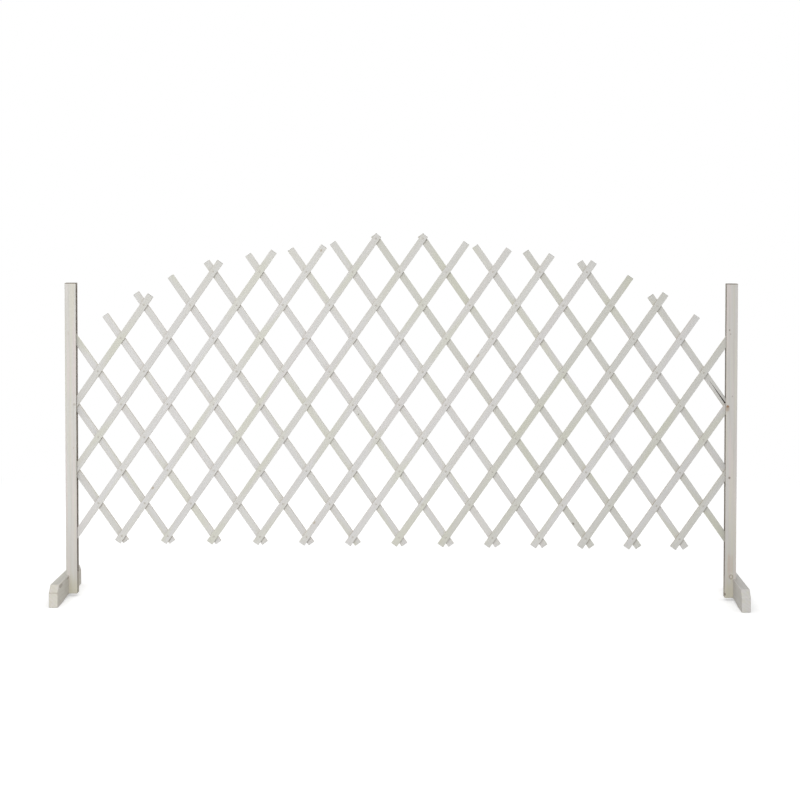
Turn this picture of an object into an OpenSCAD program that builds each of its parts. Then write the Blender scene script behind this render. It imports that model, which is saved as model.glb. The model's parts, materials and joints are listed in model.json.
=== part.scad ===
// Free-standing expanding trellis: a scissor lattice of thin slats, nailed at every crossing and cut to
// a low arch, whose ends run in the grooves of two square posts, each on a foot housed in its outer side.
// X runs along the width, Y from front to back and Z up from the floor.

/* [Overall] */
// Width over the outer faces of the two posts
overall_w = 1800; // [1700:5:1950]
// Height of the lowest row of crossings above the floor
first_row_z = 164; // [150:1:200]

/* [Lattice] */
// Distance between neighbouring nails along a slat
pitch = 109; // [104:0.5:120]
// Width of a slat's face
slat_w = 18; // [14:0.5:20]
// Thickness of a slat
slat_t = 6; // [5:0.25:7]
// Free end of a slat below the lowest row, at the left-hand end of the lattice
left_tail = 18; // [12:1:40]
// Free end of a slat below the lowest row, at the right-hand end of the lattice
right_tail = 31; // [12:1:40]
// Free end of a slat past its last nail inside a post
end_tail = 8; // [6:0.5:10]

/* [Posts] */
// Side of a post along the width
post_w = 30; // [28:0.5:40]
// Side of a post from front to back
post_d = 30; // [26:0.5:40]
// Length of a post
post_h = 840; // [790:5:950]
// Distance of the pivot nail from the post's inner face
pivot_inset = 5; // [4:0.25:7]

/* [Feet] */
// Length of a foot from front to back
foot_len = 380; // [300:5:450]
// Thickness of a foot
foot_t = 24; // [18:0.5:30]
// Height of a foot
foot_h = 58; // [50:1:75]
// Height of the upright end of a foot, below its sloped corner
toe_h = 40; // [30:1:48]
// Length of the sloped corner, measured along the foot
toe_run = 25; // [10:1:40]
// Length of the pad on which each end of a foot stands
pad_len = 62; // [40:1:80]
// Rise of the arched underside between the pads
arch_h = 8; // [4:0.5:12]
// Depth of the housing that the foot fills in the post
housing = 7.5; // [5:0.5:9]

/* [Nails and screws] */
// Diameter of a lattice nail
nail_d = 2.2; // [1.8:0.1:3]
// Diameter of a lattice nail's head
nail_head_d = 4.6; // [4:0.1:6]
// Diameter of a lattice nail's flattened tip
nail_tip_d = 3.6; // [3.4:0.1:5]
// Height of a lattice nail's head and of its tip
nail_head_h = 0.9; // [0.6:0.1:1.4]
// Diameter of a post's pivot nail
pivot_d = 3; // [2.4:0.1:4]
// Diameter of a pivot nail's head
pivot_head_d = 6.5; // [5:0.1:8]
// Height of a pivot nail's head
pivot_head_h = 1.2; // [0.8:0.1:2]
// Diameter of a foot screw
screw_d = 4; // [3.5:0.1:5]
// Diameter of a foot screw's countersunk head
screw_head_d = 8; // [7:0.1:10]
// Length of a foot screw
screw_len = 40; // [35:1:44]

/* [Hidden] */
$fn = 48;
// Facets of the wide arc under a foot
arch_facets = 720;

// Clearances: between the slat layers, round a turning nail, round a fixed one, and beside a running end
layer_gap = 0.3;
turn_clear = 0.08;
snug_clear = 0.04;
groove_clear = 0.5;
overrun = 2;

// Counts of the lattice: cells along the width, and rows below the one that the posts are pinned at
cells = 14;
lower_row_count = 4;
slat_count = cells + lower_row_count / 2;
top_row = 9;

// Where each front slat's sawn tip lies, in nail pitches above the lowest row, from left to right.
// The three slats after these end in the right-hand post.
tip_shares = [7.29, 8.3, 8.61, 8.77, 9.1, 9.1, 8.87, 8.68, 8.51, 8.3, 7.86, 7.35, 6.69];

// Heights of a foot's two screws as shares of the foot's height, and their offset as a share of the post
screw_height_shares = [0.38, 0.72];
screw_side_share = 0.2;

// The cross recess of a screw as shares of its head
recess_long_share = 0.55;
recess_wide_share = 0.13;
recess_deep_share = 0.18;
// The flat of a nail's head as a share of its diameter
head_flat_share = 0.6;

post_out = overall_w / 2;
post_in = post_out - post_w;
span = 2 * (post_in + pivot_inset);
cell_w = span / cells;
lean = asin(cell_w / 2 / pitch);
row_h = pitch * cos(lean);
pivot_z = first_row_z + lower_row_count * row_h;

slat_back_y = layer_gap / 2;
slat_front_y = slat_back_y + slat_t;
nail_tip_y = slat_front_y + layer_gap;

end_reach = sqrt(end_tail * end_tail + slat_w * slat_w / 4);
groove_deep = pivot_inset + end_reach + groove_clear;
groove_w = 2 * (nail_tip_y + nail_head_h + groove_clear);
groove_z = foot_h + groove_w;

foot_in = post_out - housing;
foot_out = foot_in + foot_t;
arch_half = foot_len / 2 - pad_len;
arch_r = (arch_half * arch_half + arch_h * arch_h) / (2 * arch_h);
screw_head_h = (screw_head_d - screw_d) / 2;

wood = "#d9d6cc";
back_wood = "#d0ccbf";
foot_wood = "#d3d2c6";
nail_steel = "#7d6a58";
screw_steel = "#a8a498";

function numbered(stem, i) = str(stem, i < 10 ? "_0" : "_", i);

// Front slat i leans right, and its line meets the lowest row in column front_col(i). Back slat i leans
// left from column i. But for the free lower ends, back slat i is front slat twin(i) in a mirror.
function front_col(i) = i - 1 - lower_row_count / 2;
function twin(i) = slat_count + 1 - i;
function col_x(col) = col * cell_w - span / 2;

// A front slat's first and last row, and whether its ends lie in a post
function starts_in_post(i) = front_col(i) <= 0;
function ends_in_post(i) = i > len(tip_shares);
function first_row(i) = max(0, -2 * front_col(i));
function last_row(i) = ends_in_post(i) ? 2 * (cells - front_col(i)) : floor(tip_shares[i - 1]);

// A front slat's lower and upper end, along its own length from the lowest row. The free lower ends get
// longer from left to right, so the lower end also depends on the column where the slat meets that row.
function bottom_tail(col) = left_tail + (right_tail - left_tail) * col / cells;
function low_end(i, col) = first_row(i) * pitch - (starts_in_post(i) ? end_tail : bottom_tail(col));
function high_end(i) = ends_in_post(i) ? last_row(i) * pitch + end_tail : tip_shares[i - 1] * pitch;

// The back slat that crosses front slat i in a row, and whether both of them reach that crossing
function crossing(i, row) = front_col(i) + row;
function in_rows(i, row) = row >= first_row(i) && row <= last_row(i);
function is_slat(i) = i >= 1 && i <= slat_count;
function nailed(i, row) = is_slat(i) && is_slat(crossing(i, row)) && in_rows(i, row)
    && in_rows(twin(crossing(i, row)), row);

// The crossings that the pivot nails of the two posts go through
function pivoted(i, row) = row == lower_row_count
    && (front_col(i) == -row / 2 || front_col(i) == cells - row / 2);
function hole_d(i, row) = pivoted(i, row) ? pivot_d : nail_d;

module along_y(y) {
    translate([0, y, 0]) rotate([-90, 0, 0]) children();
}

module on_front_slat(i) {
    translate([col_x(front_col(i)), 0, first_row_z]) rotate([0, lean, 0]) children();
}

module on_back_slat(i) {
    translate([col_x(i), 0, first_row_z]) rotate([0, -lean, 0]) children();
}

module slat_blank(low, high, y) {
    translate([-slat_w / 2, y, low]) cube([slat_w, slat_t, high - low]);
}

module slat_hole(row, d) {
    translate([0, 0, row * pitch]) along_y(-slat_front_y - overrun)
        cylinder(d = d, h = 2 * (slat_front_y + overrun));
}

module front_slat(i) {
    color(wood) on_front_slat(i) difference() {
        slat_blank(low_end(i, front_col(i)), high_end(i), -slat_front_y);
        for (row = [0:top_row]) if (nailed(i, row))
            slat_hole(row, hole_d(i, row) + 2 * (pivoted(i, row) ? turn_clear : snug_clear));
    }
}

module back_slat(i) {
    color(back_wood) on_back_slat(i) difference() {
        slat_blank(low_end(twin(i), i), high_end(twin(i)), slat_back_y);
        for (row = [0:top_row]) let (front = i - front_col(0) - row) if (nailed(front, row))
            slat_hole(row, hole_d(front, row) + 2 * turn_clear);
    }
}

// A nail along Y with its head against the face at -front_y and its flattened tip behind the one at tip_y
module nail(front_y, tip_y, d, head_d, head_h, tip_d, tip_h) {
    along_y(-front_y - head_h) cylinder(d1 = head_d * head_flat_share, d2 = head_d, h = head_h);
    along_y(-front_y - head_h / 2) cylinder(d = d, h = front_y + tip_y + (head_h + tip_h) / 2);
    along_y(tip_y) cylinder(d1 = tip_d, d2 = tip_d * head_flat_share, h = tip_h);
}

// The nails driven through one front slat, which turn in the back slats
module nails(i) {
    color(nail_steel) on_front_slat(i) for (row = [0:top_row]) if (nailed(i, row) && !pivoted(i, row))
        translate([0, 0, row * pitch])
            nail(slat_front_y, nail_tip_y, nail_d, nail_head_d, nail_head_h, nail_tip_d, nail_head_h);
}

module pivot_nail(side) {
    color(nail_steel) translate([side * span / 2, 0, pivot_z])
        nail(post_d / 2, post_d / 2, pivot_d, pivot_head_d, pivot_head_h, pivot_head_d, pivot_head_h);
}

// The groove is open at the top and ends in a half round above the foot
module groove() {
    translate([-post_in - groove_deep, -groove_w / 2, groove_z])
        cube([groove_deep + overrun, groove_w, arch_h + post_h - groove_z + overrun]);
    translate([-post_in - groove_deep, 0, groove_z]) rotate([0, 90, 0])
        cylinder(d = groove_w, h = groove_deep + overrun);
}

module at_screws() {
    for (n = [0, 1]) {
        side = (2 * n - 1) * screw_side_share * post_d;
        translate([-foot_out, side, screw_height_shares[n] * foot_h]) rotate([0, 90, 0]) children();
    }
}

// The post on the left; the one on the right is the same, turned end for end
module post() {
    color(wood) difference() {
        translate([-post_out, -post_d / 2, arch_h]) cube([post_w, post_d, post_h]);
        groove();
        translate([-post_out - overrun, -post_d / 2 - overrun, arch_h - overrun])
            cube([housing + overrun, post_d + 2 * overrun, foot_h - arch_h + overrun]);
        translate([-span / 2, 0, pivot_z]) along_y(-post_d / 2 - overrun)
            cylinder(d = pivot_d + 2 * snug_clear, h = post_d + 2 * overrun);
        at_screws() cylinder(d = screw_d + 2 * snug_clear, h = screw_len + snug_clear);
    }
}

module foot() {
    half = foot_len / 2;
    color(foot_wood) difference() {
        translate([-foot_out, 0, 0]) rotate([90, 0, 90]) linear_extrude(foot_t) polygon([
            [-half, 0], [half, 0], [half, toe_h], [half - toe_run, foot_h],
            [toe_run - half, foot_h], [-half, toe_h]
        ]);
        translate([-foot_out - overrun, 0, arch_h - arch_r]) rotate([0, 90, 0])
            cylinder(r = arch_r, h = foot_t + 2 * overrun, $fn = arch_facets);
        at_screws() {
            translate([0, 0, -overrun]) cylinder(d = screw_d + 2 * snug_clear, h = foot_t + 2 * overrun);
            cylinder(d1 = screw_head_d + 2 * snug_clear, d2 = screw_d + 2 * snug_clear, h = screw_head_h);
        }
    }
}

module foot_screws() {
    recess_long = screw_head_d * recess_long_share;
    recess_wide = screw_head_d * recess_wide_share;
    recess_deep = screw_head_d * recess_deep_share;
    color(screw_steel) at_screws() difference() {
        union() {
            cylinder(d1 = screw_head_d, d2 = screw_d, h = screw_head_h);
            cylinder(d = screw_d, h = screw_len - screw_d);
            translate([0, 0, screw_len - screw_d]) cylinder(d1 = screw_d, d2 = 0, h = screw_d);
        }
        for (turn = [0, 90]) rotate([0, 0, turn])
            translate([-recess_long / 2, -recess_wide / 2, -overrun])
                cube([recess_long, recess_wide, recess_deep + overrun]);
    }
}

post();  // left_post
rotate([0, 0, 180]) post();  // right_post
foot();  // left_foot
rotate([0, 0, 180]) foot();  // right_foot
foot_screws();  // left_foot_screws
rotate([0, 0, 180]) foot_screws();  // right_foot_screws
pivot_nail(-1);  // left_pivot_nail
pivot_nail(1);  // right_pivot_nail
for (i = [1:slat_count]) {
    front_slat(i);
    back_slat(i);
    nails(i);
}
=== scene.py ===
"""Expanding garden trellis, dressed: limewashed posts, feet and slats on tarnished nails.

The solids of the frame keep their shape and place. Their arrises are rounded, one slat gets the split
that its pivot nail made, every piece gets its finish, and a plain white studio is set round them.
"""

import json
import logging
import math
from dataclasses import dataclass, replace
from enum import Enum
from typing import ClassVar

import bmesh
import bpy
from mathutils import Matrix, Vector

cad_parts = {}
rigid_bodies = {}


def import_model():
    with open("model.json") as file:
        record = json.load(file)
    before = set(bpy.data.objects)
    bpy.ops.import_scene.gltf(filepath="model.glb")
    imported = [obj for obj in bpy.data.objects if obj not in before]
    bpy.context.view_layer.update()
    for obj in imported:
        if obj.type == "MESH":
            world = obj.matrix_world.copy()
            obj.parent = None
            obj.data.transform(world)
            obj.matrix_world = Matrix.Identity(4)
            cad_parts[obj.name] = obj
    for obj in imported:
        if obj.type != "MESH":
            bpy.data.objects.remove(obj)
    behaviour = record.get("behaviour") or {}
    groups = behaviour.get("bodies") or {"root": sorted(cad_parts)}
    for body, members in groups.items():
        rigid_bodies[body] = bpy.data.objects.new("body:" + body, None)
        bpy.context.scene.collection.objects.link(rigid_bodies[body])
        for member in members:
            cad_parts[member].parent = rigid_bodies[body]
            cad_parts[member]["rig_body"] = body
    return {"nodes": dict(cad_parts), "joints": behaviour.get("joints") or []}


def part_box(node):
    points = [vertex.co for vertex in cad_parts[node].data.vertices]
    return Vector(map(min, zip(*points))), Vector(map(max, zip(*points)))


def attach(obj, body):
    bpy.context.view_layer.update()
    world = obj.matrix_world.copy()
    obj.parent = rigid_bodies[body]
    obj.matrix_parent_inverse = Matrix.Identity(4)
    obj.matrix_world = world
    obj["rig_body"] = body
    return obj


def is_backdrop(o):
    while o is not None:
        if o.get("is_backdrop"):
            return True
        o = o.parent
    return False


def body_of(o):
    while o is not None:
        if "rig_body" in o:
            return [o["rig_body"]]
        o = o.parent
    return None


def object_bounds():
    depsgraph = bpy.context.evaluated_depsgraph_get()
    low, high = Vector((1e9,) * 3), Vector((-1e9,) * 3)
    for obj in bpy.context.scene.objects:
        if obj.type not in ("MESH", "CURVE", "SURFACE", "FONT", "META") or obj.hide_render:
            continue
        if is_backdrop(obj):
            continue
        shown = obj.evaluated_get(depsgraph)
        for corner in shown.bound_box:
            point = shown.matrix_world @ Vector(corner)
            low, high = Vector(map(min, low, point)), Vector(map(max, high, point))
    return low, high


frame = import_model()
CAD_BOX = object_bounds()

LOG = logging.getLogger("trellis")
MM = 0.001
FULL_TURN = 2 * math.pi
RIGHT = Vector((1, 0, 0))
BACK = Vector((0, 1, 0))
UP = Vector((0, 0, 1))
WHITE = (1.0, 1.0, 1.0)

# Points of a solid that lie closer together than this are one point of a seam.
SEAM = 0.02 * MM

# The average of Blender's noise.
NOISE_MEAN = 0.5

Colour = tuple[float, float, float]
Pair = tuple[float, float]
Number = "float | Signal"


class Side(Enum):
    """The two ends of the trellis."""

    LEFT = "left"
    RIGHT = "right"

    @property
    def inner_sign(self) -> int:
        """Plus one where the inner side faces right, minus one where it faces left."""
        return 1 if self is Side.LEFT else -1


class Layer(Enum):
    """The two layers of slats: in front they lean right, behind they lean left."""

    FRONT = "front"
    BACK = "back"

    @property
    def lean_sign(self) -> int:
        """Plus one where the slats lean right, minus one where they lean left."""
        return 1 if self is Layer.FRONT else -1

    @property
    def other(self) -> "Layer":
        """The layer that this one is nailed to."""
        return Layer.BACK if self is Layer.FRONT else Layer.FRONT


class Signal:
    """One socket of a node tree, on which Python's operators add Math nodes."""

    def __init__(self, tree: "ShaderTree", socket: bpy.types.NodeSocket) -> None:
        """Wraps a socket of a tree."""
        self.tree = tree
        self.socket = socket

    def output(self, name: str) -> "Signal":
        """Another output of the node that this one comes from."""
        return Signal(self.tree, self.socket.node.outputs[name])

    def __add__(self, other: Number) -> "Signal":
        """The sum."""
        return self.tree.math("ADD", self, other)

    __radd__ = __add__

    def __sub__(self, other: Number) -> "Signal":
        """The difference."""
        return self.tree.math("SUBTRACT", self, other)

    def __rsub__(self, other: Number) -> "Signal":
        """The difference, taken from a number."""
        return self.tree.math("SUBTRACT", other, self)

    def __mul__(self, other: Number) -> "Signal":
        """The product."""
        return self.tree.math("MULTIPLY", self, other)

    __rmul__ = __mul__

    def __truediv__(self, other: Number) -> "Signal":
        """The quotient."""
        return self.tree.math("DIVIDE", self, other)

    def __rtruediv__(self, other: Number) -> "Signal":
        """The quotient of a number."""
        return self.tree.math("DIVIDE", other, self)

    def __pow__(self, other: Number) -> "Signal":
        """The power."""
        return self.tree.math("POWER", self, other)

    def __rpow__(self, other: Number) -> "Signal":
        """The power of a number."""
        return self.tree.math("POWER", other, self)

    def __abs__(self) -> "Signal":
        """The value without its sign."""
        return self.tree.math("ABSOLUTE", self)

    def __round__(self) -> "Signal":
        """The nearest whole number."""
        return self.tree.math("ROUND", self)

    def sine(self) -> "Signal":
        """The sine of an angle in radians."""
        return self.tree.math("SINE", self)

    def at_most(self, other: Number) -> "Signal":
        """The lesser of two values."""
        return self.tree.math("MINIMUM", self, other)

    def at_least(self, other: Number) -> "Signal":
        """The greater of two values."""
        return self.tree.math("MAXIMUM", self, other)

    def above(self, other: Number) -> "Signal":
        """1 where the value is the greater of two, and 0 elsewhere."""
        return self.tree.math("GREATER_THAN", self, other)

    def smooth(self, none: float, full: float) -> "Signal":
        """A soft step.

        Args:
            none: The value at which the step is 0.
            full: The value at which it is 1. It may be the lower of the two.

        Returns:
            The step, from 0 to 1.
        """
        return self.tree.node(
            "ShaderNodeMapRange",
            {"interpolation_type": "SMOOTHSTEP"},
            {"Value": self, "From Min": none, "From Max": full},
        )


class ShaderTree:
    """The node tree of a material, of the world or of a modifier."""

    def __init__(self, tree: bpy.types.NodeTree) -> None:
        """Empties a tree, to be filled again."""
        self.tree = tree
        tree.nodes.clear()

    def node(
        self, kind: str, settings: dict | None = None, values: dict | None = None, output: str | int = 0
    ) -> Signal | None:
        """Adds one node.

        Args:
            kind: Blender's name of the node's type.
            settings: The node's own settings, which are set first.
            values: A number, colour, vector or signal for each socket, by its name or place.
            output: The name or place of the output that is wanted.

        Returns:
            That output, or None from a node that ends its tree.
        """
        made = self.tree.nodes.new(kind)
        for name, value in (settings or {}).items():
            setattr(made, name, value)
        for key, value in (values or {}).items():
            socket = made.inputs[key]
            if isinstance(value, Signal):
                self.tree.links.new(value.socket, socket)
            elif socket.type == "RGBA":
                socket.default_value = (*value, 1.0)
            else:
                socket.default_value = value
        return Signal(self, made.outputs[output]) if len(made.outputs) else None

    def math(self, operation: str, *operands: Number) -> Signal:
        """Adds a Math node on one or two values."""
        return self.node("ShaderNodeMath", {"operation": operation}, dict(enumerate(operands)))

    def dot(self, vector: Signal, axis: Vector) -> Signal:
        """The length of a vector along a fixed axis."""
        return self.node("ShaderNodeVectorMath", {"operation": "DOT_PRODUCT"}, {0: vector, 1: axis}, "Value")

    def scaled(self, colour: "Colour | Signal", share: Number) -> Signal:
        """A colour made lighter or darker as a whole."""
        return self.node("ShaderNodeVectorMath", {"operation": "SCALE"}, {0: colour, "Scale": share})

    def mix(self, share: Number, first: "Colour | Signal", second: "Colour | Signal") -> Signal:
        """Mixes two colours: the first where the share is 0, and the second where it is 1."""
        return self.node("ShaderNodeMix", {"data_type": "RGBA"}, {0: share, 6: first, 7: second}, 2)

    def noise(self, place: Signal, scale: float, detail: float) -> Signal:
        """Noise at a place, about 0.5 on average."""
        return self.node("ShaderNodeTexNoise", values={"Vector": place, "Scale": scale, "Detail": detail})

    def bump(self, height: Signal, strength: float, depth: float) -> Signal:
        """A normal bent by a height, where 1 stands as far out as the depth says."""
        return self.node("ShaderNodeBump", values={"Strength": strength, "Distance": depth, "Height": height})

    def seen(self) -> Signal:
        """1 for rays that show the picture, straight or by a mirror or glass, and 0 for light alone."""
        path = self.node("ShaderNodeLightPath", output="Is Camera Ray")
        return path.at_least(path.output("Is Glossy Ray")).at_least(path.output("Is Transmission Ray"))


@dataclass(frozen=True)
class GrainAxes:
    """Directions of a piece of wood in the frame at rest."""

    along: Vector
    across: Vector
    through: Vector


@dataclass(frozen=True)
class Streaks:
    """Noise drawn out along the grain: the length and width of a streak, in metres.

    The seed is a whole number that sets one noise apart from the others. The step says where the noise
    is high enough to make a patch.
    """

    long: float
    wide: float
    seed: int
    step: Pair = (0.0, 1.0)
    detail: float = 2.0


class Wood:
    """Coordinates of a piece of wood in its shader, in metres along, across and through the grain."""

    FACING: Pair = (0.5, 0.9)

    def __init__(self, tree: ShaderTree, axes: GrainAxes) -> None:
        """Adds the coordinates to a tree.

        Args:
            tree: The material's tree.
            axes: The directions of the grain.
        """
        self.tree = tree
        self.place = tree.node("ShaderNodeTexCoord", output="Object")
        facing = self.place.output("Normal")
        self.along = tree.dot(self.place, axes.along)
        self.across = tree.dot(self.place, axes.across)
        self.through = tree.dot(self.place, axes.through)
        self.end_face = abs(tree.dot(facing, axes.along))
        self.to_side = tree.dot(facing, axes.across)
        self.to_back = tree.dot(facing, axes.through)

    def noise(self, streaks: Streaks) -> Signal:
        """Noise drawn out along the grain.

        Args:
            streaks: The size of its streaks.

        Returns:
            The noise, about 0.5 on average.
        """
        along = self.along / streaks.long + streaks.seed
        across, through = self.across / streaks.wide, self.through / streaks.wide
        spot = self.tree.node("ShaderNodeCombineXYZ", values={0: along, 1: across, 2: through})
        return self.tree.noise(spot, 1.0, streaks.detail)

    def swing(self, streaks: Streaks) -> Signal:
        """Noise drawn out along the grain, about 0 on average."""
        return self.noise(streaks) - NOISE_MEAN

    def patches(self, streaks: Streaks) -> Signal:
        """1 in patches drawn out along the grain, and 0 between them."""
        return self.noise(streaks).smooth(*streaks.step)

    def facing(self, turned: Signal, sign: int) -> Signal:
        """1 on faces that look along an axis, or against it where the sign is minus, and 0 on others."""
        return (turned * sign).smooth(*self.FACING)


@dataclass(frozen=True)
class Knot:
    """A knot or a mark in the wood, at a place along and across the grain, in millimetres.

    Its rim and its ring are shares of half its size.
    """

    along: float
    across: float
    length: float
    width: float
    colour: Colour
    strength: float
    ringed: bool = False
    rim_shares: ClassVar[Pair] = (1.15, 0.45)
    ring_share: ClassVar[float] = 0.85
    ring_fade_shares: ClassVar[Pair] = (0.35, 0.05)

    def moved(self, along: float, across: float) -> "Knot":
        """The same knot, further along and across the grain by so many metres."""
        return replace(self, along=self.along + along / MM, across=self.across + across / MM)

    def mask(self, wood: Wood, ragged: Signal) -> Signal:
        """Where the knot shows.

        Args:
            wood: The coordinates of the wood that it grew in.
            ragged: Noise that frays its rim, about 0 on average.

        Returns:
            A mask from 0 to 1.
        """
        far = (wood.along - self.along * MM) / (self.length * MM / 2)
        wide = (wood.across - self.across * MM) / (self.width * MM / 2)
        distance = (far ** 2 + wide ** 2) ** 0.5 + ragged
        if self.ringed:
            return abs(distance - self.ring_share).smooth(*self.ring_fade_shares) * self.strength
        return distance.smooth(*self.rim_shares) * self.strength


@dataclass(frozen=True)
class Finish:
    """A finish, which is made into one material.

    Its bump is a strength and a depth. A noise of two numbers is a scale and a detail.
    """

    name: str

    def material(self) -> bpy.types.Material:
        """Makes the material.

        Returns:
            The material, ready for the pieces that wear this finish.
        """
        made = bpy.data.materials.new(self.name)
        made.use_nodes = True
        tree = ShaderTree(made.node_tree)
        tree.node("ShaderNodeOutputMaterial", values={"Surface": self.surface(tree)})
        return made

    def surface(self, tree: ShaderTree) -> Signal:
        """Adds the nodes of the finish to a tree, and gives its shader."""
        raise NotImplementedError


@dataclass(frozen=True)
class Limewash(Finish):
    """Thin matt limewash, brushed on softwood so that the grain shows through it.

    A share ending in thin is how much less wash there is. One ending in height is for the relief, and one
    ending in rough for the roughness.
    """

    axes: GrainAxes
    wash: Colour
    banded: float
    ring_pitch: float
    saw_pitch: float

    bare: Colour = (0.42, 0.335, 0.23)
    pink: Colour = (0.72, 0.675, 0.655)
    cream: Colour = (0.69, 0.68, 0.585)
    end_grain: Colour = (0.20, 0.165, 0.12)
    coverage: float = 0.92
    knots: tuple[Knot, ...] = ()

    fibre: Streaks = Streaks(45 * MM, 0.9 * MM, 3, detail=3.0)
    fibre_thin: float = 0.24
    fibre_height: float = 0.8
    fibre_rough: float = 0.2

    ring_slope: Pair = (0.8, 0.6)
    ring_step: Pair = (0.1, 1.0)
    ring_wander: Streaks = Streaks(350 * MM, 40 * MM, 11)
    ring_swing: float = 14 * MM
    ring_thin: float = 0.10
    ring_height: float = 0.15
    ring_rough: float = 0.05

    saw_chatter: Streaks = Streaks(30 * MM, 30 * MM, 31)
    saw_swing: float = 6.0
    saw_height: float = 0.08

    uneven: Streaks = Streaks(180 * MM, 18 * MM, 5)
    uneven_thin: float = 0.14
    handled: Streaks = Streaks(60 * MM, 12 * MM, 17, (0.60, 0.80))
    handled_thin: float = 0.08
    pink_bands: Streaks = Streaks(220 * MM, 10 * MM, 23, (0.48, 0.68))
    cream_bands: Streaks = Streaks(300 * MM, 9 * MM, 29, (0.46, 0.68))
    knot_fray: Streaks = Streaks(14 * MM, 3 * MM, 61)
    knot_swing: float = 0.8

    roughness: float = 0.72
    specular: float = 0.3
    bump: Pair = (0.45, 0.22 * MM)

    def surface(self, tree: ShaderTree) -> Signal:
        """Adds the nodes of the finish to a tree.

        Args:
            tree: The material's tree.

        Returns:
            The shader.
        """
        wood = Wood(tree, self.axes)
        fibre = wood.noise(self.fibre)
        rings = self.rings(wood)
        colour = self.coloured(wood, self.covered(wood, fibre, rings))
        ragged = wood.swing(self.knot_fray) * self.knot_swing
        for knot in self.knots:
            colour = tree.mix(knot.mask(wood, ragged), colour, knot.colour)
        rough = (fibre - NOISE_MEAN) * self.fibre_rough + rings * self.ring_rough
        return tree.node(
            "ShaderNodeBsdfPrincipled",
            values={
                "Base Color": colour,
                "Roughness": self.roughness + rough,
                "Normal": tree.bump(self.relief(wood, fibre, rings), *self.bump),
                "Specular IOR Level": self.specular,
            },
        )

    def rings(self, wood: Wood) -> Signal:
        """The dark late wood of the growth rings, as lines along the grain.

        Args:
            wood: The coordinates of the wood.

        Returns:
            The lines, from 0 to 1.
        """
        across, through = self.ring_slope
        wander = wood.swing(self.ring_wander) * self.ring_swing
        turn = (wood.across * across + wood.through * through + wander) * (FULL_TURN / self.ring_pitch)
        return turn.sine().smooth(*self.ring_step)

    def wear_and_painted_shade(self, wood: Wood) -> Signal:
        """How much of the wash handling has rubbed off: a little, here and there."""
        return wood.patches(self.handled) * self.handled_thin

    def covered(self, wood: Wood, fibre: Signal, rings: Signal) -> Signal:
        """How much of the wood the wash hides.

        Args:
            wood: The coordinates of the wood.
            fibre: The fine streaks of the grain.
            rings: The lines of the growth rings.

        Returns:
            The share that is hidden, from 0 to 1.
        """
        grain = rings * self.ring_thin + (fibre - NOISE_MEAN) * self.fibre_thin
        thin = grain + wood.swing(self.uneven) * self.uneven_thin + self.wear_and_painted_shade(wood)
        return (self.coverage - thin).at_most(1.0).at_least(0.0)

    def coloured(self, wood: Wood, covered: Signal) -> Signal:
        """The colour of the washed wood.

        Args:
            wood: The coordinates of the wood.
            covered: How much of it the wash hides.

        Returns:
            The colour, before any knots.
        """
        tree = wood.tree
        colour = tree.mix(covered, self.bare, self.wash)
        colour = tree.mix(wood.patches(self.pink_bands) * self.banded, colour, self.pink)
        return tree.mix(wood.patches(self.cream_bands) * self.banded, colour, self.cream)

    def relief(self, wood: Wood, fibre: Signal, rings: Signal) -> Signal:
        """The height of the surface, from 0 to about 1.

        Args:
            wood: The coordinates of the wood.
            fibre: The fine streaks of the grain.
            rings: The lines of the growth rings.

        Returns:
            The height.
        """
        chatter = wood.swing(self.saw_chatter) * self.saw_swing
        saw = (wood.along * (FULL_TURN / self.saw_pitch) + chatter).sine()
        return fibre * self.fibre_height + rings * self.ring_height + saw * self.saw_height


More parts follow.
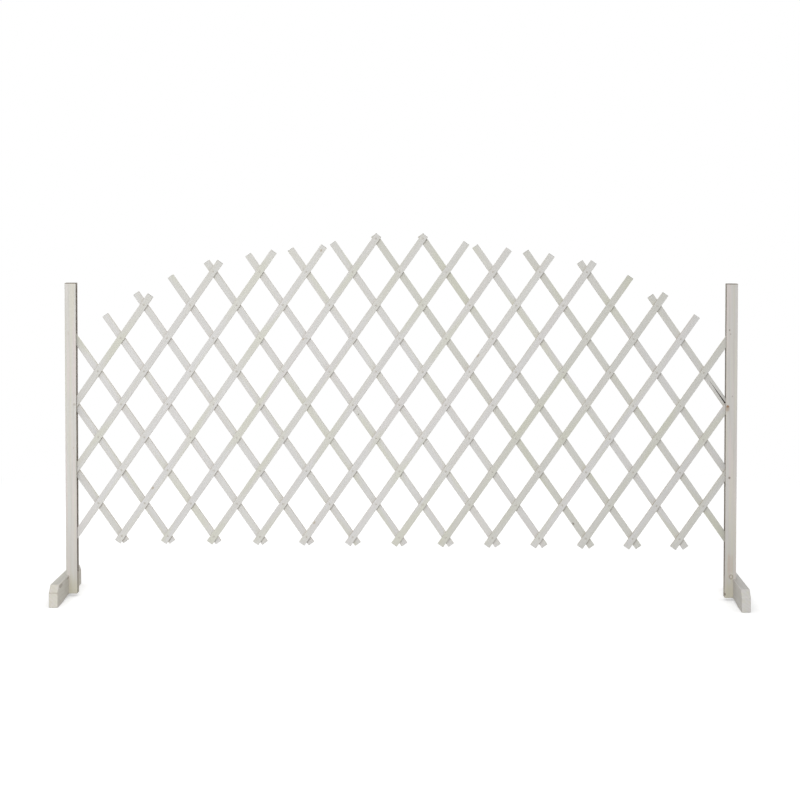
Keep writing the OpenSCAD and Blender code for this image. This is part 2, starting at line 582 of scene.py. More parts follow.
@dataclass(frozen=True, kw_only=True)
class PostWash(Limewash):
    """Limewash on a planed post: bare end grain on top, greyer towards the ground, a stained foot, and
    painted shade on the inner side and in the groove.
    """

    foot_z: float
    top_z: float
    inner_x: float
    inner_sign: int

    pink: Colour = (0.73, 0.665, 0.635)
    cream: Colour = (0.69, 0.67, 0.58)
    banded: float = 0.8
    ring_pitch: float = 9 * MM
    saw_pitch: float = 4.5 * MM

    soak: Streaks = Streaks(60 * MM, 9 * MM, 37)
    soak_swing: float = 80 * MM
    grey: Colour = (0.50, 0.48, 0.44)
    grey_heights: Pair = (300 * MM, 40 * MM)
    grey_share: float = 0.28
    stain: Colour = (0.60, 0.575, 0.42)
    stain_heights: Pair = (65 * MM, 5 * MM)
    stain_share: float = 0.5

    end_facing: Pair = (0.35, 0.75)
    end_share: float = 0.9
    rub_depth: float = 2.4 * MM
    rub_full_depth: float = 1.2 * MM

    # A near-black colour, painted as shade on the inner side and on the groove's walls.
    painted_shade: Colour = (0.13, 0.105, 0.085)
    groove_width: float = 16 * MM
    groove_depth: float = 22 * MM
    groove_lip: float = 0.6 * MM
    groove_mouth: Pair = (0.1 * MM, 1.0 * MM)
    groove_end: float = 2 * MM
    # Shares of painted shade in the groove and on the inner side, and how much thinner the wash is there,
    # partly as painted shade.
    groove_painted_shade_share: float = 0.9
    inner_painted_shade_share: float = 0.45
    inner_thin_and_shade: float = 0.7

    def wear_and_painted_shade(self, wood: Wood) -> Signal:
        """The rubbed places, and the inner side, where the brush hardly reached between the slats and where
        shade is painted too.
        """
        return super().wear_and_painted_shade(wood) + wood.facing(wood.to_side, self.inner_sign) * self.inner_thin_and_shade

    def shaded_groove(self, wood: Wood) -> Signal:
        """Where shade is painted on the walls of the groove, which lie in shade.

        Args:
            wood: The coordinates of the wood.

        Returns:
            1 on those walls, and 0 elsewhere.
        """
        half, deep = self.groove_width / 2, (self.inner_x - wood.across) * self.inner_sign
        slot = abs(wood.through).smooth(half + self.groove_lip, half)
        inside = deep.smooth(*self.groove_mouth)
        return slot * inside * deep.smooth(self.groove_depth + self.groove_end, self.groove_depth)

    def coloured(self, wood: Wood, covered: Signal) -> Signal:
        """The washed colour with the dark end grain, the grey and the stain that rise from the ground, and
        painted shade on the inner side and in the groove.

        Args:
            wood: The coordinates of the wood.
            covered: How much of it the wash hides.

        Returns:
            The colour, before any knots.
        """
        tree = wood.tree
        rise = wood.along - self.foot_z + wood.swing(self.soak) * self.soak_swing
        grey = rise.smooth(*self.grey_heights) * self.grey_share
        stained = rise.smooth(*self.stain_heights) * self.stain_share
        colour = tree.mix(grey, super().coloured(wood, covered), self.grey)
        colour = tree.mix(stained, colour, self.stain)
        rubbed = wood.along.smooth(self.top_z - self.rub_depth, self.top_z - self.rub_full_depth)
        ended = wood.end_face.smooth(*self.end_facing).at_least(rubbed)
        colour = tree.mix(ended * self.end_share, colour, self.end_grain)
        # Painted shade: the inner side and the groove's walls are darkened as if in shade.
        inner = wood.facing(wood.to_side, self.inner_sign) * self.inner_painted_shade_share
        return tree.mix((self.shaded_groove(wood) * self.groove_painted_shade_share).at_least(inner), colour, self.painted_shade)


@dataclass(frozen=True, kw_only=True)
class FootWash(Limewash):
    """Limewash on a foot: greyer on the level top, partly soil and partly painted shade, and darker on the
    inner side, which is painted shade.

    Clouds make both of them uneven. Each goes from its least share of the grey to so much more.
    """

    soil_and_shade: Colour
    inner_shade_share: float
    inner_sign: int

    banded: float = 0.55
    ring_pitch: float = 8 * MM
    saw_pitch: float = 4.5 * MM

    # The colour of the painted shade on the inner side.
    painted_inner_shade: Colour = (0.40, 0.37, 0.325)
    clouds: Streaks = Streaks(80 * MM, 20 * MM, 53)
    level_facing: Pair = (0.85, 0.98)
    soil_and_shade_least: float = 0.35
    soil_and_shade_more: float = 0.5
    inner_shade_least: float = 0.6
    inner_shade_more: float = 0.8

    def coloured(self, wood: Wood, covered: Signal) -> Signal:
        """The washed colour, with the level top greyer, partly as painted shade, and the inner side darkened
        as painted shade.

        Args:
            wood: The coordinates of the wood.
            covered: How much of it the wash hides.

        Returns:
            The colour, before any knots.
        """
        tree, cloud = wood.tree, wood.noise(self.clouds)
        # The level top: partly soil, partly painted shade.
        level = wood.to_side.smooth(*self.level_facing) * (self.soil_and_shade_least + cloud * self.soil_and_shade_more)
        colour = tree.mix(level, super().coloured(wood, covered), self.soil_and_shade)
        # Painted shade: the inner side is darkened as if in shade.
        inner = wood.facing(wood.to_back, self.inner_sign) * self.inner_shade_share
        return tree.mix(inner * (self.inner_shade_least + cloud * self.inner_shade_more), colour, self.painted_inner_shade)


@dataclass(frozen=True)
class SlatRow:
    """The middle lines of one layer's slats, in the frame at rest."""

    axes: GrainAxes
    first: Vector
    second: Vector
    count: int
    width: float = 18 * MM

    def step(self, axis: Vector) -> float:
        """The distance along an axis from one middle line to the next, at the lowest row."""
        return (self.second - self.first).dot(axis)

    def past_first(self, wood: Wood) -> Signal:
        """The distance across the grain from the first slat's middle line."""
        return wood.tree.dot(wood.place, self.axes.across) - self.first.dot(self.axes.across)

    def number(self, wood: Wood) -> Signal:
        """The number of the nearest slat of the layer, from 0."""
        place = self.past_first(wood) / self.step(self.axes.across)
        return round(place).at_least(0.0).at_most(self.count - 1.0)

    def off_centre(self, wood: Wood) -> Signal:
        """The distance from the middle line of the nearest slat."""
        return abs(self.past_first(wood) - self.number(wood) * self.step(self.axes.across))

    def from_nail(self, wood: Wood, pitch: float) -> Signal:
        """The distance from the nearest nail.

        Args:
            wood: The coordinates of the wood.
            pitch: The distance between nails along every slat.

        Returns:
            The distance.
        """
        along = self.axes.along
        row = wood.along - self.first.dot(along) - self.number(wood) * self.step(along)
        past = row - round(row / pitch) * pitch
        return (past ** 2 + self.off_centre(wood) ** 2) ** 0.5


@dataclass(frozen=True, kw_only=True)
class SlatWash(Limewash):
    """Limewash on sawn slats, brushed on once they were nailed up.

    Each slat has its own tone. The wash is thin on the arrises, on the sawn edges and between two slats where
    they cross, and a little rust shows round the nails. The sawn edges and a thin line beside each crossing
    are darkened further as painted shade.
    """

    row: SlatRow
    other: SlatRow
    inner_sign: int
    nail_pitch: float

    wash: Colour = (0.742, 0.742, 0.739)
    banded: float = 0.3
    ring_pitch: float = 3.4 * MM
    saw_pitch: float = 2.2 * MM

    arris_shares: Pair = (0.43, 0.5)
    arris_thin: float = 0.15
    edge_facing: Pair = (0.4, 0.8)
    # The sawn edges and a thin line beside each crossing are darkened, partly as painted shade.
    edge_thin_and_shade: float = 0.65
    gap_shade_beyond: float = 0.2 * MM
    crossed_within: float = 0.8 * MM
    crossed_thin_and_gap_shade: float = 0.4

    greenish: Colour = (0.665, 0.665, 0.565)
    green_patches: Streaks = Streaks(240 * MM, 60 * MM, 43, (0.50, 0.66))
    green_patch_share: float = 0.6
    green_slat_share: float = 0.45
    green_slat_power: float = 3
    green_most: float = 0.9
    chance_offset: float = 0.25
    rained: Colour = (0.59, 0.59, 0.51)
    rained_heights: Pair = (0.70, 0.92)
    rained_share: float = 0.2
    tone_share: float = 0.06

    rust: Colour = (0.42, 0.33, 0.23)
    rust_patches: Streaks = Streaks(8 * MM, 5 * MM, 47, (0.35, 0.65))
    rust_reach: Pair = (5.5 * MM, 1.5 * MM)
    rust_share: float = 0.22
    end_facing: Pair = (0.2, 0.6)
    end_share: float = 0.75

    # Bare wood in shade: a near-black colour painted on the walls of holes and splits.
    split_wood_and_shade: Colour = (0.075, 0.058, 0.045)
    inside_reach: Pair = (7.5 * MM, 6.5 * MM)
    inside_turn: Pair = (0.96, 0.85)
    inside_end: Pair = (0.9, 0.6)

    def wear_and_painted_shade(self, wood: Wood) -> Signal:
        """The rubbed places, the arrises, the sawn edges, and the bands between slats that cross, with
        painted shade on the sawn edges and on a thin line beside each crossing.

        Args:
            wood: The coordinates of the wood.

        Returns:
            How much less wash there is, painted shade included.
        """
        low, high = (self.row.width * share for share in self.arris_shares)
        arris = self.row.off_centre(wood).smooth(low, high) * self.arris_thin
        # The sawn edges lose wash and are darkened, partly as painted shade.
        edge = abs(wood.to_side).smooth(*self.edge_facing) * self.edge_thin_and_shade
        # Bare wood under the crossing slat, reaching just past its edges as a thin line of painted shade in
        # the gap.
        half = self.other.width / 2
        crossed_and_gap_shade = self.other.off_centre(wood).smooth(half + self.gap_shade_beyond, half - self.crossed_within)
        bare = crossed_and_gap_shade * wood.facing(wood.to_back, self.inner_sign) * self.crossed_thin_and_gap_shade
        return super().wear_and_painted_shade(wood) + arris + edge + bare

    def broken(self, wood: Wood) -> Signal:
        """1 on the walls of nail holes and splits, which get a near-black colour as painted shade over bare
        wood, and 0 on the slat's own faces.
        """
        turned = abs(wood.to_back).smooth(*self.inside_turn) * wood.end_face.smooth(*self.inside_end)
        return self.row.off_centre(wood).smooth(*self.inside_reach) * turned

    def coloured(self, wood: Wood, covered: Signal) -> Signal:
        """The washed colour with each slat's own tone, the marks round its nails, its end grain, and painted
        shade in its holes and split.

        Args:
            wood: The coordinates of the wood.
            covered: How much of it the wash hides.

        Returns:
            The colour, before any knots.
        """
        tree = wood.tree
        slat = self.row.number(wood) + self.chance_offset
        chance = tree.node("ShaderNodeTexWhiteNoise", {"noise_dimensions": "1D"}, {"W": slat})
        patched = wood.patches(self.green_patches) * self.green_patch_share
        green = chance ** self.green_slat_power * self.green_slat_share + patched
        colour = tree.mix(green.at_most(self.green_most), super().coloured(wood, covered), self.greenish)
        high = tree.dot(wood.place, UP).smooth(*self.rained_heights)
        colour = tree.mix(high * self.rained_share, colour, self.rained)
        near = self.row.from_nail(wood, self.nail_pitch).smooth(*self.rust_reach)
        colour = tree.mix(near * wood.patches(self.rust_patches) * self.rust_share, colour, self.rust)
        ended = wood.end_face.smooth(*self.end_facing) * self.end_share
        colour = tree.scaled(tree.mix(ended, colour, self.end_grain), 1.0 - chance * self.tone_share)
        # Painted shade: the walls of the nail holes and the split are darkened as if in shade.
        return tree.mix(self.broken(wood), colour, self.split_wood_and_shade)


@dataclass(frozen=True)
class NailFinish(Finish):
    """Plain steel that has tarnished and rusted, with a film of wash left on it."""

    steel: Colour = (0.30, 0.265, 0.225)
    rust: Colour = (0.34, 0.20, 0.115)
    film: Colour = (0.60, 0.585, 0.54)
    rusted: float = 0.42
    washed: float = 0.62
    coarse: Pair = (420.0, 4.0)
    fine: Pair = (1900.0, 3.0)
    fine_share: float = 0.4
    rust_step: Pair = (0.35, 0.70)
    film_step: Pair = (0.40, 0.62)
    film_share: float = 0.88
    metal_share: float = 0.8
    roughness: float = 0.45
    rust_rough: float = 0.35
    rust_height: float = 0.6
    bump: Pair = (0.4, 0.15 * MM)

    def surface(self, tree: ShaderTree) -> Signal:
        """Adds the nodes of the finish to a tree.

        Args:
            tree: The material's tree.

        Returns:
            The shader.
        """
        place = tree.node("ShaderNodeTexCoord", output="Object")
        coarse = tree.noise(place, *self.coarse)
        fine = tree.noise(place, *self.fine)
        rusty = (coarse + self.rusted - NOISE_MEAN).smooth(*self.rust_step)
        mottled = fine * self.fine_share + coarse * (1.0 - self.fine_share)
        washed = (mottled + self.washed - NOISE_MEAN).smooth(*self.film_step)
        metal = tree.mix(rusty, self.steel, self.rust)
        return tree.node(
            "ShaderNodeBsdfPrincipled",
            values={
                "Base Color": tree.mix(washed * self.film_share, metal, self.film),
                "Metallic": (1.0 - rusty).at_most(1.0 - washed) * self.metal_share,
                "Roughness": self.roughness + rusty * self.rust_rough,
                "Normal": tree.bump(fine + rusty * self.rust_height, *self.bump),
            },
        )


@dataclass(frozen=True)
class ZincFinish(Finish):
    """Zinc plate on screws, dull, with brushed scuffs and white bloom."""

    zinc: Colour = (0.55, 0.54, 0.51)
    bloom: Colour = (0.66, 0.66, 0.63)
    clouds: Pair = (500.0, 4.0)
    scuffs: Pair = (2600.0, 2.0)
    bloom_step: Pair = (0.48, 0.70)
    bloom_dull: float = 0.7
    roughness: float = 0.34
    scuff_rough: float = 0.15
    bloom_rough: float = 0.2
    bump: Pair = (0.25, 0.05 * MM)

    def surface(self, tree: ShaderTree) -> Signal:
        """Adds the nodes of the finish to a tree.

        Args:
            tree: The material's tree.

        Returns:
            The shader.
        """
        place = tree.node("ShaderNodeTexCoord", output="Object")
        bloomed = tree.noise(place, *self.clouds).smooth(*self.bloom_step)
        scuffs = tree.noise(place, *self.scuffs)
        return tree.node(
            "ShaderNodeBsdfPrincipled",
            values={
                "Base Color": tree.mix(bloomed, self.zinc, self.bloom),
                "Metallic": 1.0 - bloomed * self.bloom_dull,
                "Roughness": self.roughness + scuffs * self.scuff_rough + bloomed * self.bloom_rough,
                "Normal": tree.bump(scuffs, *self.bump),
            },
        )


@dataclass(frozen=True)
class FloorFinish(Finish):
    """A pale floor that shows the object's soft shadow near it, and white further off; near the object its
    glow is dimmed by ambient occlusion as a painted contact shadow.
    """

    lit: Colour = (0.7, 0.7, 0.7)
    shown: Colour = (0.62, 0.62, 0.62)
    contact: float = 45 * MM
    contact_samples: int = 8
    painted_shadow_share: float = 0.4
    white_distances: Pair = (1.6, 3.0)

    def surface(self, tree: ShaderTree) -> Signal:
        """Adds the nodes of the finish to a tree.

        Args:
            tree: The material's tree.

        Returns:
            The shader.
        """
        place = tree.node("ShaderNodeTexCoord", output="Object")
        distance = tree.node("ShaderNodeVectorMath", {"operation": "LENGTH"}, {0: place}, "Value")
        far = distance.smooth(*self.white_distances)
        # Painted contact shadow: the floor's glow is dimmed where ambient occlusion finds the object close.
        painted_contact_shadow = tree.node(
            "ShaderNodeAmbientOcclusion", {"samples": self.contact_samples}, {"Distance": self.contact}, "AO"
        )
        glow_with_painted_shadow = tree.scaled(self.shown, 1.0 - self.painted_shadow_share + painted_contact_shadow * self.painted_shadow_share)
        under = tree.node("ShaderNodeBsdfDiffuse", values={"Color": self.shown})
        above = tree.node("ShaderNodeEmission", values={"Color": glow_with_painted_shadow})
        shadowed = tree.node("ShaderNodeAddShader", values={0: under, 1: above})
        white = tree.node("ShaderNodeEmission", values={"Color": WHITE})
        shown = tree.node("ShaderNodeMixShader", values={0: far, 1: shadowed, 2: white})
        plain = tree.node("ShaderNodeBsdfDiffuse", values={"Color": self.lit})
        return tree.node("ShaderNodeMixShader", values={0: tree.seen(), 1: plain, 2: shown})


@dataclass(frozen=True)
class Arris:
    """The rounding of a piece's outer edges, which planing and handling leave."""

    radius: float
    segments: int = 3
    profile: float = 0.5
    crease: float = math.radians(32)
    flat: float = math.radians(0.5)
    lift: float = 0.02 * MM
    tight: float = 0.05 * MM

    def soften(self, piece: bpy.types.Object) -> None:
        """Rounds the outer edges of a piece with modifiers, which leave its own mesh alone.

        Args:
            piece: The piece.
        """
        shape_with(piece, self.hull(piece), "INTERSECT")
        modify(piece, "weld", "WELD", merge_threshold=self.tight)
        modify(piece, "flats", "DECIMATE", decimate_type="DISSOLVE", angle_limit=self.flat)
        modify(piece, "creases", "NODES", node_group=self.creases())
        modify(piece, "shade", "WEIGHTED_NORMAL", keep_sharp=True)
        modify(piece, "facets", "TRIANGULATE", ngon_method="BEAUTY", keep_custom_normals=True)

    def hull(self, piece: bpy.types.Object) -> bpy.types.Object:
        """Makes the rounded block that a piece was cut from.

        Args:
            piece: The piece, whose convex hull is that block.

        Returns:
            The block, a hair larger than the piece but for its rounded edges. It is never shown.
        """
        shape = bmesh.new()
        shape.from_mesh(piece.data)
        around = bmesh.ops.convex_hull(shape, input=shape.verts)["geom"]
        faces = {item for item in around if isinstance(item, bmesh.types.BMFace)}
        bmesh.ops.delete(shape, geom=[face for face in shape.faces if face not in faces], context="FACES")
        bmesh.ops.delete(shape, geom=[vert for vert in shape.verts if not vert.link_faces], context="VERTS")
        bmesh.ops.dissolve_limit(shape, angle_limit=self.flat, verts=shape.verts, edges=shape.edges)
        bmesh.ops.recalc_face_normals(shape, faces=shape.faces)
        for vert in shape.verts:
            vert.co += vert.normal * self.lift
        bmesh.ops.bevel(
            shape,
            geom=shape.edges,
            offset=self.radius,
            segments=self.segments,
            profile=self.profile,
            affect="EDGES",
        )
        mesh = bpy.data.meshes.new(f"{piece.name}_block")
        shape.to_mesh(mesh)
        shape.free()
        return bpy.data.objects.new(mesh.name, mesh)

    def creases(self) -> bpy.types.NodeTree:
        """Makes the node group that keeps a piece's sharp edges sharp, once for all pieces.

        Returns:
            The node group.
        """
        group = bpy.data.node_groups.get("creases")
        if group is None:
            group = bpy.data.node_groups.new("creases", "GeometryNodeTree")
            for way in ("INPUT", "OUTPUT"):
                group.interface.new_socket("Geometry", in_out=way, socket_type="NodeSocketGeometry")
            tree = ShaderTree(group)
            mesh = tree.node("GeometryNodeSetShadeSmooth", values={"Geometry": tree.node("NodeGroupInput")})
            turn = tree.node("GeometryNodeInputMeshEdgeAngle")
            marked = tree.node(
                "GeometryNodeStoreNamedAttribute",
                {"data_type": "BOOLEAN", "domain": "EDGE"},
                {"Geometry": mesh, "Name": "sharp_edge", "Value": turn.above(self.crease)},
            )
            tree.node("NodeGroupOutput", values={"Geometry": marked})
        return group


def modify(piece: bpy.types.Object, name: str, kind: str, **settings: object) -> None:
    """Adds a modifier to a piece, whose own mesh is left alone.

    Args:
        piece: The piece.
        name: The modifier's name.
        kind: Blender's name of its type.
        settings: Its settings, by their names.
    """
    modifier = piece.modifiers.new(name, kind)
    for setting, value in settings.items():
        setattr(modifier, setting, value)


def shape_with(piece: bpy.types.Object, tool: bpy.types.Object, operation: str) -> None:
    """Shapes a piece with another solid.

    Args:
        piece: The piece.
        tool: The other solid, which is hidden and rides with the piece.
        operation: What Blender's Boolean modifier does with the two.
    """
    bpy.context.scene.collection.objects.link(tool)
    tool.hide_render = True
    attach(tool, body_of(piece)[0])
    modify(piece, tool.name, "BOOLEAN", operation=operation, solver="EXACT", object=tool)


def dress(name: str, material: bpy.types.Material, slot: str, arris: Arris | None = None) -> None:
    """Dresses one node of the frame.

    Args:
        name: The node's name.
        material: The finish that it wears.
        slot: The record's material slot of that finish. It is not used.
        arris: How its edges are rounded, or None to leave them as they are.
    """
    piece = frame["nodes"][name]
    piece.data.materials.clear()
    piece.data.materials.append(material)
    modify(piece, "weld", "WELD", merge_threshold=SEAM)
    if arris is not None:
        arris.soften(piece)
    LOG.info("%s wears %s", name, material.name)


@dataclass
class Post:
    """One square post, with its pivot nail.

    Its marks are placed up from its foot and across from its left edge, and the rust from its nail.
    """

    side: Side
    low: Vector
    high: Vector
    nail: Vector
    arris: Arris = Arris(1.1 * MM)

    axes: ClassVar[GrainAxes] = GrainAxes(UP, RIGHT, BACK)
    washes: ClassVar[dict[Side, Colour]] = {Side.LEFT: (0.705, 0.70, 0.67), Side.RIGHT: (0.685, 0.67, 0.645)}
    nail_rusted: ClassVar[float] = 0.75
    nail_washed: ClassVar[dict[Side, float]] = {Side.LEFT: 0.95, Side.RIGHT: 0.32}

    dent: ClassVar[Colour] = (0.24, 0.20, 0.16)
    tan: ClassVar[Colour] = (0.58, 0.475, 0.40)
    own_marks: ClassVar[dict[Side, tuple[Knot, ...]]] = {
        Side.LEFT: (
            Knot(395, 22, 9, 4, (0.50, 0.45, 0.36), 0.4),
            Knot(705, 9, 14, 5, (0.52, 0.46, 0.38), 0.35),
        ),
        Side.RIGHT: (
            Knot(88.5, 11.5, 75, 11, tan, 0.55),
            Knot(90, 19, 60, 6, tan, 0.45),
            Knot(56.5, 16.9, 13, 10, (0.36, 0.30, 0.22), 0.8, ringed=True),
            Knot(716.7, 8.2, 6, 4.5, dent, 0.7),
            Knot(706, 11, 6, 4, dent, 0.4),
            Knot(540, 16.9, 5, 4, dent, 0.4),
            Knot(322.2, 10.6, 8.5, 7, dent, 0.9),
            Knot(9.8, 0.5, 8, 7, dent, 0.9),
        ),
    }
    nail_marks: ClassVar[dict[Side, tuple[Knot, ...]]] = {
        Side.LEFT: (),
        Side.RIGHT: (Knot(-5, -1, 20, 12, (0.38, 0.28, 0.19), 0.6),),
    }

    @classmethod
    def from_frame(cls, side: Side) -> "Post":
        """Takes the post's sizes, and the place of its pivot nail, from the frame."""
        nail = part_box(f"{side.value}_pivot_nail")
        return cls(side, *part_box(f"{side.value}_post"), (nail[0] + nail[1]) / 2)

    def marks(self) -> tuple[Knot, ...]:
        """The knots and dents of this post, and the rust that ran from its nail, placed in the frame."""
        own = tuple(mark.moved(self.low.z, self.low.x) for mark in self.own_marks[self.side])
        return own + tuple(mark.moved(self.nail.z, self.nail.x) for mark in self.nail_marks[self.side])

    def dress(self) -> None:
        """Gives the post and its pivot nail their finishes."""
        side = self.side
        wash = PostWash(
            name=f"limewash_{side.value}_post",
            axes=self.axes,
            wash=self.washes[side],
            knots=self.marks(),
            foot_z=self.low.z,
            top_z=self.high.z,
            inner_x=self.high.x if side is Side.LEFT else self.low.x,
            inner_sign=side.inner_sign,
        )
        dress(f"{side.value}_post", wash.material(), "limewashed_post", self.arris)
        rusty = NailFinish(
            name=f"rusty_{side.value}_pivot_nail", rusted=self.nail_rusted, washed=self.nail_washed[side]
        )
        dress(f"{side.value}_pivot_nail", rusty.material(), "nail_steel")


@dataclass
class Foot:
    """One foot board, with the screws that hold it.

    Its marks are placed back from its toe and up from the ground.
    """

    side: Side
    low: Vector
    arris: Arris = Arris(2.4 * MM, segments=4)

    axes: ClassVar[GrainAxes] = GrainAxes(BACK, UP, RIGHT)
    washes: ClassVar[dict[Side, Colour]] = {Side.LEFT: (0.73, 0.71, 0.64), Side.RIGHT: (0.735, 0.725, 0.705)}
    # Colours of the level top, partly soil and partly painted shade, and shares of painted shade on the inner
    # side.
    soil_and_shade: ClassVar[dict[Side, Colour]] = {Side.LEFT: (0.53, 0.52, 0.475), Side.RIGHT: (0.46, 0.45, 0.42)}
    inner_shade_share: ClassVar[dict[Side, float]] = {Side.LEFT: 0.3, Side.RIGHT: 0.46}

    brown: ClassVar[Colour] = (0.27, 0.225, 0.165)
    own_marks: ClassVar[dict[Side, tuple[Knot, ...]]] = {
        Side.LEFT: (
            Knot(49, 50.5, 52, 10, brown, 0.35),
            Knot(49, 50.5, 44, 8, brown, 0.5, ringed=True),
            # This mark is painted shade: the shadow in the gap where the foot meets the post.
            Knot(158, 53, 40, 6, brown, 0.5),
            Knot(0, 39, 14, 4, brown, 0.35),
        ),
        Side.RIGHT: (),
    }

    @classmethod
    def from_frame(cls, side: Side) -> "Foot":
        """Takes the foot's place from the frame."""
        return cls(side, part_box(f"{side.value}_foot")[0])

    def marks(self) -> tuple[Knot, ...]:
        """The knots of this foot, at their places in the frame."""
        return tuple(mark.moved(self.low.y, self.low.z) for mark in self.own_marks[self.side])

    def dress(self, zinc: bpy.types.Material) -> None:
        """Gives the foot and its screws their finishes.

        Args:
            zinc: The finish of the screws.
        """
        side = self.side
        wash = FootWash(
            name=f"limewash_{side.value}_foot",
            axes=self.axes,
            wash=self.washes[side],
            soil_and_shade=self.soil_and_shade[side],
            inner_shade_share=self.inner_shade_share[side],
            inner_sign=side.inner_sign,
            knots=self.marks(),
        )
        dress(f"{side.value}_foot", wash.material(), "limewashed_foot", self.arris)
        dress(f"{side.value}_foot_screws", zinc, "screw_zinc")


@dataclass
class Split:
    """A split that a pivot nail opened along the middle of a slat: wide at the nail, then closing."""

    start: Vector
    along: Vector
    across: Vector
    inward: Vector
    length: float = 100 * MM
    width: float = 4.4 * MM
    depth: float = 4.6 * MM
    proud: float = 0.6 * MM

    def cutter(self) -> bpy.types.Object:
        """Makes the tapering wedge that the split leaves open.

        Returns:
            The wedge, which is never shown.
        """
        half = self.across * (self.width / 2)
        front = self.start - self.inward * self.proud
        bottom = self.start + self.inward * self.depth
        corners = (front - half, front + half, bottom, front + self.along * self.length)
        faces = ((2, 1, 0), (1, 3, 0), (2, 3, 1), (3, 2, 0))
        mesh = bpy.data.meshes.new("split")
        mesh.from_pydata(corners, [], faces)
        return bpy.data.objects.new("split", mesh)

    def cut(self, name: str) -> None:
        """Opens the split in a slat, before the modifiers that clean and shade its faces.

        Args:
            name: The slat's node.
        """
        piece = frame["nodes"][name]
        shape_with(piece, self.cutter(), "DIFFERENCE")
        piece.modifiers.move(len(piece.modifiers) - 1, piece.modifiers.find("flats"))
        LOG.info("%s is split", name)


@dataclass
class Lattice:
    """The scissor lattice: its lean, its pitch and the first crossing of its lowest row.

    Each of its knots comes with the number of its slat, and is placed up along the slat from the lowest row
    and off its middle line.
    """

    lean: float
    pitch: float
    cell: float
    first_x: float
    row_z: float
    slats: int = 16
    arris: Arris = Arris(0.7 * MM)
    rows_to_pivot: int = 4
    front_lag: int = 3

    tan: ClassVar[Colour] = (0.47, 0.40, 0.30)
    dark: ClassVar[Colour] = (0.20, 0.17, 0.14)
    own_knots: ClassVar[dict[Layer, tuple[tuple[int, Knot], ...]]] = {
        Layer.FRONT: (
            (8, Knot(44, -5, 11, 6, tan, 0.75)),
            (5, Knot(648, -5, 10, 5, tan, 0.75)),
            (4, Knot(942, 0, 9, 6, tan, 0.75)),
            (9, Knot(594, -6, 12, 5, tan, 0.75)),
            (4, Knot(156, -5, 10, 7, tan, 0.75)),
        ),
        Layer.BACK: (
            (11, Knot(51, -5, 9, 6, dark, 0.75)),
            (8, Knot(406, -3, 5, 3, dark, 0.75)),
        ),
    }

    @classmethod
    def from_frame(cls) -> "Lattice":
        """Takes the lattice's sizes from the frame's joints: the pivot and a nail on one slat.

        Returns:
            The lattice.
        """
        joints = {joint["name"]: Vector(joint["pos_m"]) for joint in frame["joints"]}
        pivot = joints["left_post_pivot"]
        run = joints["nail_pivot_front_slat_05"] - pivot
        rows = cls.rows_to_pivot
        return cls(
            lean=math.atan2(run.x, -run.z),
            pitch=run.length / rows,
            cell=run.x * 2 / rows,
            first_x=pivot.x,
            row_z=pivot.z + run.z,
        )

    @staticmethod
    def slat_name(layer: Layer, number: int) -> str:
        """The name of a slat's node, by its number from 1."""
        return f"{layer.value}_slat_{number:02d}"

    def axes(self, layer: Layer) -> GrainAxes:
        """The directions of a layer's grain, of which the first leads up."""
        sine, cosine = math.sin(self.lean) * layer.lean_sign, math.cos(self.lean)
        return GrainAxes(Vector((sine, 0, cosine)), Vector((cosine, 0, -sine)), BACK)

    def foot_of(self, layer: Layer, number: int) -> Vector:
        """Where a slat's middle line crosses the lowest row."""
        column = number - self.front_lag if layer is Layer.FRONT else number
        return Vector((self.first_x + self.cell * column, 0, self.row_z))

    def knots(self, layer: Layer) -> tuple[Knot, ...]:
        """The knots of a layer, each where the real one has it.

        Args:
            layer: The layer.

        Returns:
            The knots, at their places in the frame.
        """
        axes = self.axes(layer)
        feet = [(self.foot_of(layer, number), knot) for number, knot in self.own_knots[layer]]
        return tuple(knot.moved(foot.dot(axes.along), foot.dot(axes.across)) for foot, knot in feet)

    def row(self, layer: Layer) -> SlatRow:
        """The middle lines of a layer's slats."""
        return SlatRow(self.axes(layer), self.foot_of(layer, 1), self.foot_of(layer, 2), self.slats)

    def wash(self, layer: Layer) -> SlatWash:
        """The finish of a layer.

        Args:
            layer: The layer.

        Returns:
            The finish.
        """
        return SlatWash(
            name=f"limewash_{layer.value}_slats",
            axes=self.axes(layer),
            knots=self.knots(layer),
            row=self.row(layer),
            other=self.row(layer.other),
            inner_sign=layer.lean_sign,
            nail_pitch=self.pitch,
        )

    def split(self) -> Split:
        """The split in the last back slat, up from the right post's pivot nail.

        Returns:
            The split.
        """
        axes, foot = self.axes(Layer.BACK), self.foot_of(Layer.BACK, self.slats)
        place = foot + axes.along * (self.pitch * self.rows_to_pivot)
        place.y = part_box(f"back_slat_{self.slats:02d}")[0].y
        return Split(place, axes.along, axes.across, axes.through)

    def dress(self) -> None:
        """Gives the slats of both layers and all the nails their finishes."""
        numbers = range(1, self.slats + 1)
        for layer in Layer:
            material = self.wash(layer).material()
            for number in numbers:
                name = self.slat_name(layer, number)
                dress(name, material, f"limewashed_{layer.value}_slat", self.arris)
        self.split().cut(self.slat_name(Layer.BACK, self.slats))
        steel = NailFinish("tarnished_nails").material()
        for number in numbers:
            dress(f"nails_{number:02d}", steel, "nail_steel")


@dataclass(frozen=True)
class Lamp:
    """A large soft square of light."""

    name: str
    place: Vector
    aim: Vector
    size: float
    watts: float
    spread: float = math.pi

    def hang(self) -> None:
        """Hangs the lamp, turned to what it lights."""
        light = bpy.data.lights.new(self.name, "AREA")
        light.size = self.size
        light.spread = self.spread
        light.energy = self.watts
        lamp = bpy.data.objects.new(self.name, light)
        turn = (self.aim - self.place).to_track_quat("-Z", "Y").to_matrix().to_4x4()
        lamp.matrix_world = Matrix.Translation(self.place) @ turn
        bpy.context.scene.collection.objects.link(lamp)


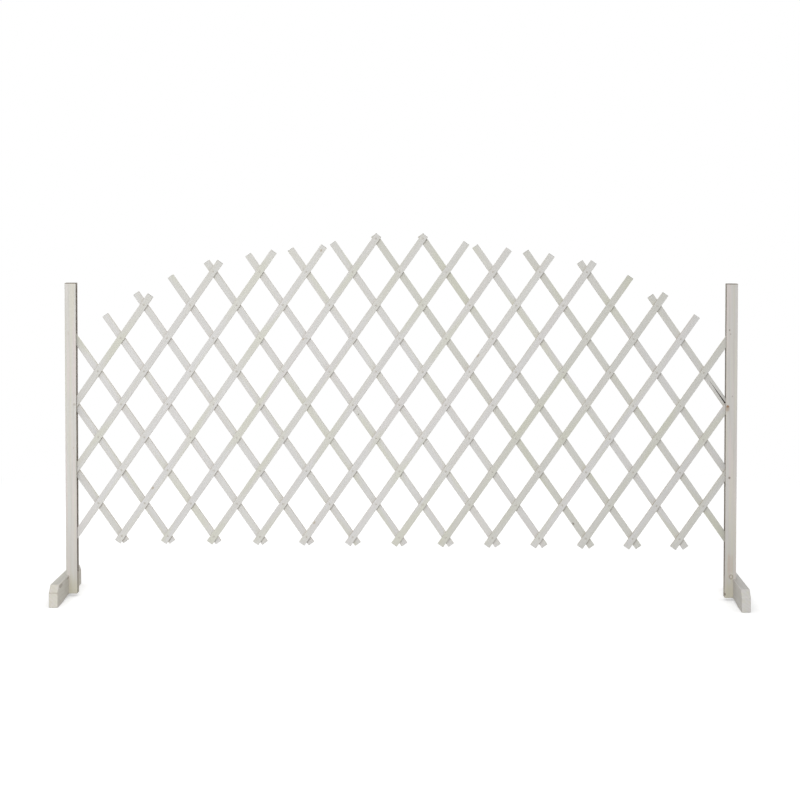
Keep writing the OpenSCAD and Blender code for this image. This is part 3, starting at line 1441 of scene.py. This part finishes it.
@dataclass
class Studio:
    """A plain white studio: a pale floor, a soft lamp high in front, one behind, and weak light all round."""

    floor_radius: float = 14.0
    floor_segments: int = 96
    lamps: tuple[Lamp, ...] = (
        Lamp(
            "key",
            place=Vector((-0.6, -4.4, 2.7)),
            aim=Vector((-0.95, 0.0, 0.45)),
            size=3.2,
            watts=47.0,
            spread=math.radians(100),
        ),
        Lamp("behind", place=Vector((0.0, 4.6, 1.3)), aim=Vector((0.0, 0.0, 0.5)), size=2.6, watts=85.0),
    )
    ambient: float = 0.48
    camera_place: Vector = Vector((0.1322, -6.0, 1.0467))
    camera_yaw: float = 0.03893
    camera_down: float = 0.04238
    focal_pixels: float = 2241.3
    picture_pixels: float = 800.0
    sensor_mm: float = 36.0
    shift: Pair = (0.048, -0.12)

    def set_up(self) -> None:
        """Sets the floor, the light and the camera."""
        bpy.context.scene.view_settings.view_transform = "Standard"
        self.lay_floor()
        self.light_world()
        for lamp in self.lamps:
            lamp.hang()
        self.place_camera()

    def lay_floor(self) -> None:
        """Lays a pale floor that shows white, with the object's soft shadow on it."""
        mesh = bpy.data.meshes.new("floor")
        shape = bmesh.new()
        bmesh.ops.create_circle(
            shape, cap_ends=True, segments=self.floor_segments, radius=self.floor_radius
        )
        shape.to_mesh(mesh)
        shape.free()
        mesh.materials.append(FloorFinish("pale_floor").material())
        floor = bpy.data.objects.new("floor", mesh)
        bpy.context.scene.collection.objects.link(floor)
        floor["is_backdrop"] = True
        LOG.info("floor laid")

    def light_world(self) -> None:
        """Lights all round softly, and shows white behind the object."""
        world = bpy.data.worlds.new("white_studio")
        world.use_nodes = True
        bpy.context.scene.world = world
        tree = ShaderTree(world.node_tree)
        strength = self.ambient + tree.seen() * (1.0 - self.ambient)
        shown = tree.node("ShaderNodeBackground", values={"Color": WHITE, "Strength": strength})
        tree.node("ShaderNodeOutputWorld", values={"Surface": shown})

    def place_camera(self) -> None:
        """Places the camera where the photograph was taken from."""
        lens = bpy.data.cameras.new("camera")
        lens.sensor_width = self.sensor_mm
        lens.lens = self.focal_pixels / self.picture_pixels * self.sensor_mm
        lens.shift_x, lens.shift_y = self.shift
        camera = bpy.data.objects.new("camera", lens)
        camera.location = self.camera_place
        camera.rotation_euler = (math.pi / 2 - self.camera_down, 0.0, self.camera_yaw)
        bpy.context.scene.collection.objects.link(camera)
        bpy.context.scene.camera = camera


def write_sizes() -> None:
    """Works out the box of the solids and the box of the dressed object, and writes neither."""
    boxes = {"cad": CAD_BOX, "visual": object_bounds()}
    {name: [list(corner) for corner in box] for name, box in boxes.items()}


def main() -> None:
    """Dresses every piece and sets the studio."""
    logging.basicConfig(level=logging.INFO, format="%(name)s: %(message)s")
    Studio().set_up()
    zinc = ZincFinish("zinc_screws").material()
    for side in Side:
        Post.from_frame(side).dress()
        Foot.from_frame(side).dress(zinc)
    Lattice.from_frame().dress()
    write_sizes()


if __name__ == "__main__":
    main()
